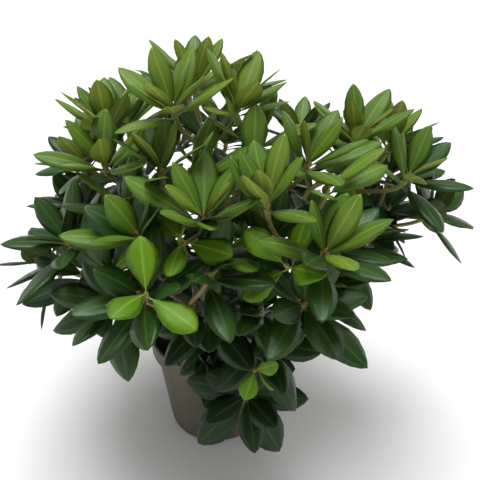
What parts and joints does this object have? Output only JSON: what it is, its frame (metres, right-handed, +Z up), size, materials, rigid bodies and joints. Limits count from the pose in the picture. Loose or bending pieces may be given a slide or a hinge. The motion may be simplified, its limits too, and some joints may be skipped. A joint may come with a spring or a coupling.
{
  "type": "potted rhododendron",
  "caption": "Evergreen broad-leaved shrub on a short branching trunk, rooted in compost in a round tapered nursery pot, for patios and gardens.",
  "frame": {"origin": "centre of the pot's flat underside, on the surface that the pot stands on", "axes": "+Z up along the trunk; -Y towards the viewer of the picture; +X to the viewer's right"},
  "size_m": [0.7953, 0.8123, 0.7656],
  "materials": {
    "pot": "matt taupe grey, slightly grained",
    "compost": "damp crumbly bark compost",
    "bark": "brown fissured bark",
    "foliage": "leathery green leaves with a soft sheen"
  },
  "bodies": {
    "root": {"bough_back": "bark", "bough_back_left": "bark", "bough_back_left_high": "bark", "bough_back_left_low": "bark", "bough_back_low": "bark", "bough_back_right_high": "bark", "bough_back_top": "bark", "bough_centre_high": "bark", "bough_centre_left": "bark", "bough_centre_right": "bark", "bough_front": "bark", "bough_front_low": "bark", "bough_front_lowest": "bark", "bough_front_right_low": "bark", "bough_left_far": "bark", "bough_left_high": "bark", "bough_left_low": "bark", "bough_left_lowest": "bark", "bough_right_far": "bark", "bough_right_low": "bark", "bough_right_lowest": "bark", "bough_right_mid": "bark", "bough_right_shoulder": "bark", "bough_right_top": "bark", "bough_top": "bark", "foliage_back": "foliage", "foliage_back_left": "foliage", "foliage_back_left_high": "foliage", "foliage_back_left_low": "foliage", "foliage_back_low": "foliage", "foliage_back_right_high": "foliage", "foliage_back_top": "foliage", "foliage_centre_high": "foliage", "foliage_centre_left": "foliage", "foliage_centre_right": "foliage", "foliage_front": "foliage", "foliage_front_low": "foliage", "foliage_front_lowest": "foliage", "foliage_front_right_low": "foliage", "foliage_left_far": "foliage", "foliage_left_high": "foliage", "foliage_left_low": "foliage", "foliage_left_lowest": "foliage", "foliage_right_far": "foliage", "foliage_right_low": "foliage", "foliage_right_lowest": "foliage", "foliage_right_mid": "foliage", "foliage_right_shoulder": "foliage", "foliage_right_top": "foliage", "foliage_top": "foliage", "pot": "pot", "soil": "compost", "trunk": "bark"}
  },
  "joints": []
}
